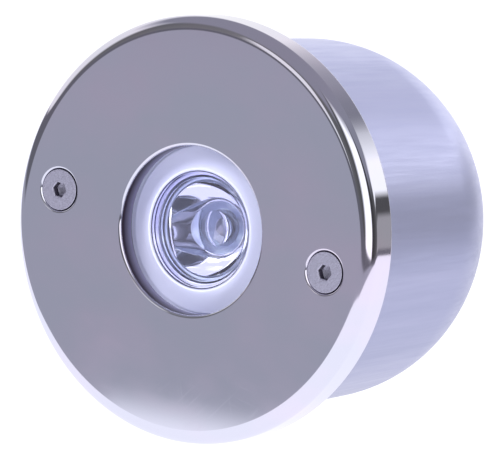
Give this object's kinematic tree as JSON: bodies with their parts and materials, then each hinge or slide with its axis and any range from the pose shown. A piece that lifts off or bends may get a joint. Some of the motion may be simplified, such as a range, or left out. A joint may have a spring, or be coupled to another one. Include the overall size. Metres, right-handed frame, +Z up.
{
  "type": "recessed pool light",
  "caption": "Small round recessed pool light: polished steel faceplate with a lens window, sealed lamp capsule behind it, in a drawn steel niche can.",
  "frame": {"origin": "on the light's axis, in the plane of the wall, which is the plane of the faceplate's back", "axes": "+Y along the light's axis into the wall, so the light faces -Y; +Z up; the two face screws lie on X"},
  "size_m": [0.0762, 0.076, 0.0762],
  "materials": {
    "plate_steel": "mirror polished stainless steel",
    "can_steel": "brushed stainless steel",
    "bezel_steel": "satin stainless steel",
    "screw_steel": "plain stainless steel",
    "plated_brass": "nickel-plated brass",
    "seal_rubber": "matte black rubber",
    "window_glass": "clear toughened glass",
    "lens_clear": "clear moulded optic",
    "holder_plastic": "white moulded plastic",
    "led_package": "white ceramic",
    "led_dome": "clear silicone over pale LED chips",
    "led_board": "white solder mask on aluminium",
    "thermal_pad": "soft grey pad",
    "body_aluminium": "turned aluminium",
    "driver_board": "green circuit board",
    "component_black": "black moulded parts",
    "terminal_block": "green moulded plastic",
    "lead_red": "red insulation",
    "lead_black": "black insulation",
    "coil_copper": "enamelled copper wire"
  },
  "bodies": {
    "niche": {"niche_can": "can_steel", "left_lug": "screw_steel", "right_lug": "screw_steel", "conduit_hub": "plated_brass", "hub_washer": "seal_rubber", "hub_locknut": "plated_brass"},
    "lamp": {"faceplate": "plate_steel", "bezel_ring": "bezel_steel", "bezel_gasket": "seal_rubber", "window_glass": "window_glass", "window_gasket": "seal_rubber", "collimator_lens": "lens_clear", "lens_holder": "holder_plastic", "led_package": "led_package", "led_dome": "led_dome", "led_board": "led_board", "board_screw_1": "screw_steel", "board_screw_2": "screw_steel", "thermal_pad": "thermal_pad", "heat_slug": "body_aluminium", "lamp_body": "body_aluminium", "body_seal": "seal_rubber", "body_screw_1": "screw_steel", "body_screw_2": "screw_steel", "body_screw_3": "screw_steel", "driver_board": "driver_board", "driver_post_1": "plated_brass", "driver_post_2": "plated_brass", "driver_post_3": "plated_brass", "driver_screw_1": "screw_steel", "driver_screw_2": "screw_steel", "driver_screw_3": "screw_steel", "driver_coil": "coil_copper", "driver_capacitor": "body_aluminium", "driver_chip": "component_black", "terminal_block": "terminal_block", "led_lead_red": "lead_red", "led_lead_black": "lead_black", "rear_cap": "body_aluminium", "rear_cap_gasket": "seal_rubber", "gland_body": "plated_brass", "gland_locknut": "plated_brass", "gland_seal": "seal_rubber", "gland_nut": "plated_brass"},
    "left_screw_body": {"left_screw": "screw_steel", "left_screw_clip": "screw_steel"},
    "right_screw_body": {"right_screw": "screw_steel", "right_screw_clip": "screw_steel"}
  },
  "joints": [
    {"name": "insert_pull", "type": "slide", "parent": "niche", "child": "lamp", "axis": [0, -1, 0], "range_m": [0, 0.06]},
    {"name": "left_screw_turn", "type": "hinge", "parent": "lamp", "child": "left_screw_body", "pos_m": [-0.02915, 0, 0], "axis": [0, 1, 0], "continuous": true},
    {"name": "right_screw_turn", "type": "hinge", "parent": "lamp", "child": "right_screw_body", "pos_m": [0.02915, 0, 0], "axis": [0, 1, 0], "continuous": true}
  ]
}
